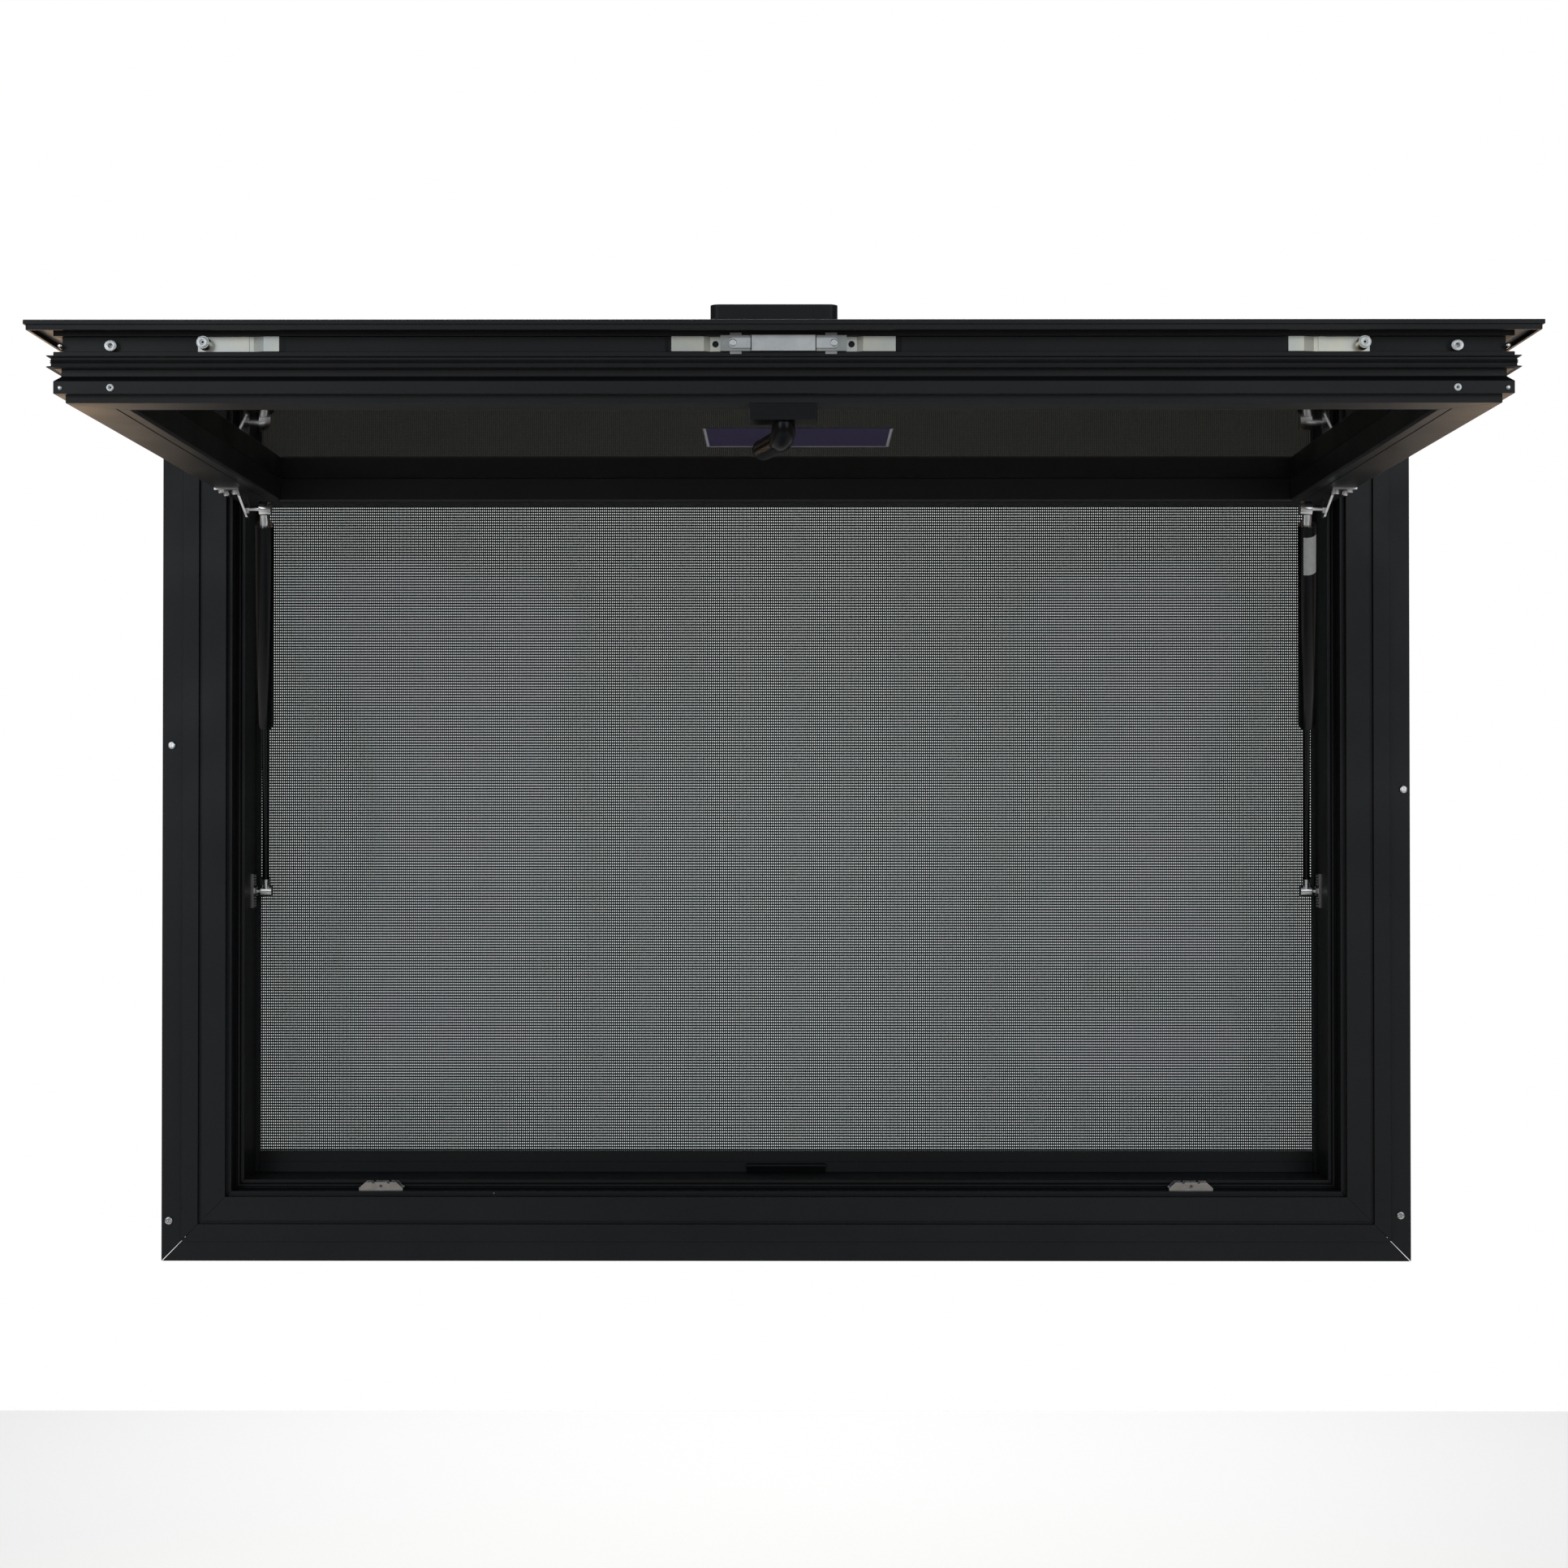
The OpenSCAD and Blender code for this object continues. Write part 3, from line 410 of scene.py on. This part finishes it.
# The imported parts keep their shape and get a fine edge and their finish


def dress(node, material, edge):
    """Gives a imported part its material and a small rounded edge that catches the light; 0 means no edge."""
    piece = nodes[node]
    piece.data.materials.clear()
    piece.data.materials.append(material)
    if edge:
        weld = piece.modifiers.new("weld", "WELD")
        weld.merge_threshold = 0.01 * MM
        bevel = piece.modifiers.new("edge", "BEVEL")
        bevel.width = edge
        bevel.segments = 2
        bevel.limit_method = "ANGLE"
        bevel.angle_limit = math.radians(28)
        bevel.harden_normals = True


def both(name):
    """The left and the right node of a pair."""
    return tuple(f"{name}_{side}" for side, _ in SIDES)


COATED = ("flange", "frame_", "sash_", "bead", "screen_box", "hinge")
FINE_EDGE = 0.35 * MM
FINISHES = (
    (("frame_seal", "sash_seal"), RUBBER, FINE_EDGE),
    ((*both("screen_track"), "screen_pull_bar"), TRIM, FINE_EDGE),
    (("exterior_pull",), TRIM, 0.8 * MM),
    (("glass_outer_pane", "glass_inner_pane"), GLASS, 0),
    (("glass_spacer",), BRIGHT, 0),
    (("lock_gearbox",), ZINC, 0.4 * MM),
    (both("lock_rod"), WARM_ZINC, 0.3 * MM),
    ((*both("keeper"), *both("strut_bracket"), *both("strut_stud")), BRIGHT, 0.3 * MM),
    (both("strut_cylinder"), ENAMEL, 0.5 * MM),
    (both("strut_rod"), ENAMEL, 0),
    (("handle_base",), HANDLE, 0.8 * MM),
    (("handle_lever",), HANDLE, 0),
)
for name in nodes:
    if name.startswith(COATED) and not name.endswith("_seal"):
        dress(name, COAT, FINE_EDGE)
for names, material, edge in FINISHES:
    for name in names:
        dress(name, material, edge)
for name in ("handle_lever", *both("strut_rod")):
    smooth(nodes[name], 30)


def second_finish(node, material, inside):
    """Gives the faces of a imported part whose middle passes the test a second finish."""
    piece = nodes[node]
    piece.data.materials.append(material)
    for face in piece.data.polygons:
        if inside(face.center):
            face.material_index = 1


# Where one finish gives way to another along the gearbox, the lock rods and the ends of the struts. On the
# gearbox, the covers' faces behind their front get a darker zinc, which is painted shade.
COVER_FROM, COVER_BACK = 25.5 * MM, 0.6 * MM
FORK_END, BAR_IN = 87 * MM, 194 * MM
UPPER_END_L, LOWER_END_L = 25 * MM, 17 * MM

rail_low, rail_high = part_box("sash_bottom_rail")
sash_edge = rail_high.x
bar_start = sash_edge - BAR_IN
gear_low, gear_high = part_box("lock_gearbox")
cover_y = gear_low.y + COVER_BACK
# Painted shade: the covers' faces set back behind their front are darkened
second_finish("lock_gearbox", SHADED_ZINC, lambda c: abs(c.x) > COVER_FROM and c.y > cover_y)
for side, _ in SIDES:
    second_finish(f"lock_rod_{side}", TRIM, lambda c: FORK_END < abs(c.x) < bar_start)
    upper_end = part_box(f"strut_cylinder_{side}")[1].z - UPPER_END_L
    second_finish(f"strut_cylinder_{side}", BRIGHT, lambda c: c.z > upper_end)
    lower_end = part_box(f"strut_rod_{side}")[0].z + LOWER_END_L
    second_finish(f"strut_rod_{side}", BRIGHT, lambda c: c.z < lower_end)


# Woven insect screen


def woven_screen():
    """Straight wires both ways, the upright ones just in front of the level ones."""
    pitch_x, pitch_z = 2.2 * MM, 2.9 * MM
    upright_r, level_r = 0.75 * MM, 1.02 * MM
    offset, sides = 0.2 * MM, 6
    low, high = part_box("screen_mesh")
    width, height = high.x - low.x, high.z - low.z
    middle = (low + high) / 2
    upright_at = (low.x + pitch_x / 2, middle.y - offset, middle.z)
    level_at = (middle.x, middle.y + offset, low.z + pitch_z / 2)
    upright = cylinder(upright_r, height, upright_at, sides)
    level = cylinder(level_r, width, level_at, sides, (0, math.pi / 2, 0))
    for wire, step, length in ((upright, (pitch_x, 0, 0), width), (level, (0, 0, pitch_z), height)):
        array = wire.modifiers.new("row", "ARRAY")
        array.use_relative_offset = False
        array.use_constant_offset = True
        array.constant_offset_displace = step
        array.count = int(length / max(step))
        apply_all(wire)
    screen = join([upright, level])
    done(screen, "woven_screen", WIRE)
    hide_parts("screen_mesh")


woven_screen()


# Screws


def pan_screw(radius, height):
    """A pan-head screw with a cross recess, at the origin and looking along +Z."""
    rounding, recess_z = 0.62 * height, 1.05 * height
    arm_l, arm_w = 1.15 * radius, 0.26 * radius
    head = cylinder(radius, height, (0, 0, height / 2), 32)
    round_edges(head, on_top(height), rounding, 5)
    for turn in (0, math.pi / 2):
        cut(head, block((arm_l, arm_w, height), (0, 0, recess_z), (0, 0, turn)))
    tidy_normals(head)
    smooth(head)
    return head


# Each flange screw, in millimetres: how far it stands off the line of its row, and its height
LEFT_SCREWS = ((0, 527.5), (-2, 31.2), (0, 862))
RIGHT_SCREWS = ((3, 481.3), (-1, 37.1), (0, 862))
ROW_IN, FIN_FRONT = 10 * MM, -2.5 * MM
row_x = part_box("flange_left")[0].x + ROW_IN
flange_places = [(row_x + off * MM, FIN_FRONT, z * MM) for off, z in LEFT_SCREWS]
flange_places += [(-row_x + off * MM, FIN_FRONT, z * MM) for off, z in RIGHT_SCREWS]
flange_screw = pan_screw(radius=4.3 * MM, height=2.6 * MM)
set_copies(flange_screw, "flange_screws", flange_places, OUTWARDS, BRIGHT)

COVER_SCREW_X = 39 * MM
gear_z = (gear_low.z + gear_high.z) / 2
cover_places = [(sign * COVER_SCREW_X, gear_low.y, gear_z) for _, sign in SIDES]
cover_screw = pan_screw(radius=2.9 * MM, height=1.0 * MM)
set_copies(cover_screw, "gearbox_screws", cover_places, OUTWARDS, BRIGHT)

# Each screw under a strut bracket, in millimetres: in from the outer edge, and off the middle
BRACKET_SCREWS = ((5, -13), (5, 13), (16, 0))
PLATE_T = 2 * MM
bracket_screw = pan_screw(radius=2.9 * MM, height=2.4 * MM)
for side, sign in SIDES:
    low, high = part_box(f"strut_bracket_{side}")
    outer_x = sign * max(abs(low.x), abs(high.x))
    middle_y = (low.y + high.y) / 2
    under = high.z - PLATE_T
    places = [(outer_x - sign * x * MM, middle_y + y * MM, under) for x, y in BRACKET_SCREWS]
    set_copies(bracket_screw, f"bracket_screws_{side}", places, DOWNWARDS, BRIGHT)
for pattern in (flange_screw, cover_screw, bracket_screw):
    bpy.data.objects.remove(pattern)


# Corner keys in the hollow lip join the two bottom mitres of the flange


def corner_key(side, sign):
    """A thin angle plate, cut from a square one, that lies behind the mitre."""
    arm_l, arm_w, thick, corner_r = 40 * MM, 11 * MM, 1.5 * MM, 1.2 * MM
    inset, key_y = 25 * MM, -5.5 * MM
    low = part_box("flange_bottom")[0]
    half = arm_l / 2
    made = block((arm_l, thick, arm_l), (half, 0, half))
    cut(made, block((arm_l, 3 * thick, arm_l), (half + arm_w, 0, half + arm_w)))
    round_edges(made, along("y", thick), corner_r, 3)
    if sign > 0:
        made.data.transform(Matrix.Scale(-1, 4, (1, 0, 0)))
    corner = Vector((sign * (abs(low.x) - inset), key_y, low.z + inset))
    made.data.transform(Matrix.Translation(corner))
    tidy_normals(made)
    done(made, f"corner_key_{side}", TRIM)


for side, sign in SIDES:
    corner_key(side, sign)


# Pins, sockets and roller caps along the near edge of the sash


def ring(outer, hole, depth, squeeze=1.0):
    """A disc at the origin with a blind hole, standing up along +Z, its top edges softened."""
    made = cylinder(outer, depth, (0, 0, depth / 2), 40)
    made.scale = (squeeze, 1, 1)
    settle(made)
    cut(made, cylinder(hole, depth, (0, 0, depth * 0.8), 28))
    round_edges(made, on_top(depth), 0.3 * MM, 3)
    tidy_normals(made)
    smooth(made)
    return made


def rounded_pin(radius, depth):
    """A pin at the origin along +Z with a domed end."""
    made = cylinder(radius, depth, (0, 0, depth / 2), 28)
    round_edges(made, on_top(depth), radius * 0.6, 4)
    tidy_normals(made)
    smooth(made)
    return made


# The wing stands out in front of the face that carries the hardware, and the groove runs along that face
WING_OUT, GROOVE_D = 18.6 * MM, 5.6 * MM
hardware_y = rail_low.y + WING_OUT
groove_floor_y = hardware_y + GROOVE_D
outer_z = rail_high.z

groove_pin = rounded_pin(radius=2.0 * MM, depth=GROOVE_D + 1 * MM)
rail_pin = rounded_pin(radius=2.0 * MM, depth=1.2 * MM)
groove_socket = ring(outer=4.4 * MM, hole=1.65 * MM, depth=GROOVE_D + 0.6 * MM, squeeze=1.1)
rail_socket = ring(outer=2.95 * MM, hole=1.25 * MM, depth=1.2 * MM)
# Black discs at the bottoms of the socket and roller-cap holes are painted shade in those holes
socket_hole_shade = rounded_pin(radius=1.2 * MM, depth=0.5 * MM)
roller_cap = ring(outer=4.2 * MM, hole=1.65 * MM, depth=0.9 * MM)
roller_hole_shade = rounded_pin(radius=1.6 * MM, depth=0.35 * MM)

# How far out the rows stand, and for each height what they are seated on and how far below the outer face
PIN_X, SOCKET_X = 559.2 * MM, 520.1 * MM
IN_GROOVE = (groove_floor_y, 16.9 * MM)
ON_RAIL = (hardware_y, 49.5 * MM)
for name, pattern, across, (seat_y, below), material in (
    ("groove_pins", groove_pin, PIN_X, IN_GROOVE, BRIGHT),
    ("rail_pins", rail_pin, PIN_X, ON_RAIL, BRIGHT),
    ("groove_sockets", groove_socket, SOCKET_X, IN_GROOVE, ZINC),
    ("rail_sockets", rail_socket, SOCKET_X, ON_RAIL, ZINC),
    ("rail_socket_hole_shades", socket_hole_shade, SOCKET_X, ON_RAIL, TRIM),
):
    places = [(sign * across, seat_y, outer_z - below) for _, sign in SIDES]
    set_copies(pattern, name, places, OUTWARDS, material)

# The caps on the lock rollers slide with their rods
ROLLER_IN, ROLLER_BELOW = 135.8 * MM, 15.6 * MM
for side, sign in SIDES:
    seat_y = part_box(f"lock_rod_{side}")[0].y
    place = (sign * (sash_edge - ROLLER_IN), seat_y, outer_z - ROLLER_BELOW)
    # The black disc in each cap's hole is painted shade
    for name, pattern, material in (("roller_cap", roller_cap, ZINC), ("roller_hole_shade", roller_hole_shade, TRIM)):
        set_copies(pattern, f"{name}_{side}", [place], OUTWARDS, material, f"lock_{side}")
for pattern in (groove_pin, rail_pin, groove_socket, rail_socket, socket_hole_shade, roller_cap, roller_hole_shade):
    bpy.data.objects.remove(pattern)


# Painted shadow: thin black strips stand for the shaded gaps where the gearbox's body meets its covers
SEAM_X, SEAM_SIZE, SEAM_R = 25 * MM, (0.8 * MM, 11.8 * MM, 0.2 * MM), 0.2 * MM
UPRIGHT = Matrix.Rotation(math.radians(90), 4, "X")
for side, sign in SIDES:
    seam_at = (sign * SEAM_X, gear_low.y, gear_z)
    film(f"gearbox_seam_shadow_{side}", SEAM_SIZE, seam_at, UPRIGHT, TRIM, SEAM_R)


# Labels: plain film, with nothing written on it


def window_sticker():
    """A violet sticker under the inner pane, with white lines along three of its edges."""
    middle_x, near_y, far_y = 11.8 * MM, -452 * MM, -327 * MM
    width, depth = 170 * MM, far_y - near_y
    middle_y = (near_y + far_y) / 2
    margin, side_line_w, far_line_w = 2 * MM, 2.4 * MM, 3 * MM
    sticker_t, line_t = 0.16 * MM, 0.1 * MM
    sticker_r, line_r = 2 * MM, 0.4 * MM
    glass_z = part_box("glass_inner_pane")[0].z
    line_z = glass_z - 0.2 * MM
    flat = Matrix.Identity(4)
    sticker_at = (middle_x, middle_y, glass_z - sticker_t / 2)
    film("window_sticker", (width, depth, sticker_t), sticker_at, flat, VIOLET, sticker_r)
    side_line = (side_line_w, depth - 2 * margin, line_t)
    far_line = (width - 2 * margin, far_line_w, line_t)
    for name, x, y, size in (
        ("sticker_line_left", middle_x - width / 2 + margin, middle_y, side_line),
        ("sticker_line_right", middle_x + width / 2 - margin, middle_y, side_line),
        ("sticker_line_far", middle_x, far_y - far_line_w, far_line),
    ):
        film(name, size, (x, y, line_z), flat, PAPER, line_r)


def strut_label():
    """A blank label wrapped partly round the right strut's cylinder, towards the viewer and the jamb."""
    upper_ball = Vector((511.4, -185.5, 755.1)) * MM
    lower_ball = Vector((556.6, 67.0, 373.4)) * MM
    radius, length, thick = 9.03 * MM, 42 * MM, 0.12 * MM
    from_ball = 49 * MM
    arc_from, arc_to = -35, 115
    axis = (lower_ball - upper_ball).normalized()
    made = cylinder(radius, length, (0, 0, 0), 72)
    turn = axis.to_track_quat("Z", "Y").to_matrix().to_4x4()
    made.data.transform(Matrix.Translation(upper_ball + axis * from_ball) @ turn)

    def outside(face):
        angle = math.degrees(math.atan2(face.normal.x, -face.normal.y))
        return abs(face.normal.dot(axis)) > 0.5 or not arc_from < angle < arc_to

    pick(made, "FACE", outside)
    bpy.ops.mesh.delete(type="FACE")
    leave_edit()
    solid = made.modifiers.new("film", "SOLIDIFY")
    solid.thickness = thick
    solid.offset = 1
    apply_all(made)
    smooth(made)
    done(made, "strut_label", PAPER)


window_sticker()
strut_label()


# Floor, light and camera

FLOOR_Z = -0.8


def pale_floor():
    """A plain pale floor under the hanging window."""
    drop_selection()
    bpy.ops.mesh.primitive_plane_add(size=6.4, location=(0, -0.2, FLOOR_Z))
    floor = bpy.context.active_object
    floor.name = "floor"
    paint = Finish("pale_floor")
    paint.set(Base_Color=(0.82, 0.815, 0.8, 1), Roughness=0.7)
    floor.data.materials.append(paint.material)


def surroundings():
    """A weak sky, warm below and cool above, that the camera itself sees as plain white."""
    world = bpy.data.worlds.new("studio")
    world.use_nodes = True
    bpy.context.scene.world = world
    tree = world.node_tree
    shade = tree.nodes["Background"]
    around = tree.nodes.new("ShaderNodeTexCoord")
    split = tree.nodes.new("ShaderNodeSeparateXYZ")
    tone = tree.nodes.new("ShaderNodeValToRGB")
    warm, cool = tone.color_ramp.elements
    warm.position, warm.color = 0.42, (1.0, 0.84, 0.68, 1)
    cool.position, cool.color = 0.56, (0.86, 0.93, 1.0, 1)

    # A height from -1 to 1 becomes a share from 0 to 1
    lift = tree.nodes.new("ShaderNodeMath")
    lift.operation = "MULTIPLY_ADD"
    lift.inputs[1].default_value = 0.5
    lift.inputs[2].default_value = 0.5
    tree.links.new(around.outputs["Generated"], split.inputs["Vector"])
    tree.links.new(split.outputs["Z"], lift.inputs[0])
    tree.links.new(lift.outputs[0], tone.inputs["Fac"])
    tree.links.new(tone.outputs["Color"], shade.inputs["Color"])
    shade.inputs["Strength"].default_value = 0.2

    white = tree.nodes.new("ShaderNodeBackground")
    white.inputs["Color"].default_value = (1, 1, 1, 1)
    white.inputs["Strength"].default_value = 1.0
    seen = tree.nodes.new("ShaderNodeLightPath")
    blend = tree.nodes.new("ShaderNodeMixShader")
    tree.links.new(seen.outputs["Is Camera Ray"], blend.inputs["Fac"])
    tree.links.new(shade.outputs["Background"], blend.inputs[1])
    tree.links.new(white.outputs["Background"], blend.inputs[2])
    tree.links.new(blend.outputs["Shader"], tree.nodes["World Output"].inputs["Surface"])


def lamps():
    """Cool lights in front, a strong one on the floor behind, and weak warm ones the camera can't see."""
    middle = Vector((0, 0, 0.45))
    near_rail = Vector((0, -0.7, 0.77))
    floor_behind = Vector((0, 2.4, FLOOR_Z))
    warm, cool, neutral = (1.0, 0.66, 0.36), (0.87, 0.94, 1.0), (1, 1, 1)
    for name, place, size, power, colour, aim in (
        ("warm_left", (-1.5, 2.0, 0.35), 0.6, 2.6, warm, near_rail),
        ("warm_right", (1.5, 2.0, 0.35), 0.6, 2.0, warm, near_rail),
        ("side_left", (-2.3, -4.4, 1.3), 2.4, 22, cool, middle),
        ("side_right", (2.3, -4.4, 1.2), 2.4, 18, cool, middle),
        ("front_high", (0.3, -6.0, 2.1), 2.4, 7, cool, middle),
        ("floor_light", (0, 3.0, 3.8), 3.6, 260, neutral, floor_behind),
    ):
        lamp = bpy.data.lights.new(name, "AREA")
        lamp.shape = "DISK"
        lamp.size = size
        lamp.energy = power
        lamp.color = colour
        lit = bpy.data.objects.new(name, lamp)
        lit.location = place
        lit.visible_camera = colour != warm
        lit.rotation_mode = "QUATERNION"
        lit.rotation_quaternion = (aim - Vector(place)).to_track_quat("-Z", "Y")
        bpy.context.scene.collection.objects.link(lit)


def camera():
    """The camera stands in front of the opening at about half its height, nearly level."""
    sensor, focal_pixels, picture_pixels = 36, 3460, 1932
    seen = bpy.data.cameras.new("camera")
    seen.sensor_width = sensor
    seen.lens = sensor * focal_pixels / picture_pixels
    held = bpy.data.objects.new("camera", seen)
    held.location = (0.0067, -2.938, 0.452)
    held.rotation_euler = (math.radians(90.68), 0, math.radians(0.167))
    bpy.context.scene.collection.objects.link(held)
    bpy.context.scene.camera = held


pale_floor()
surroundings()
lamps()
camera()
bpy.context.scene.view_settings.view_transform = "Standard"
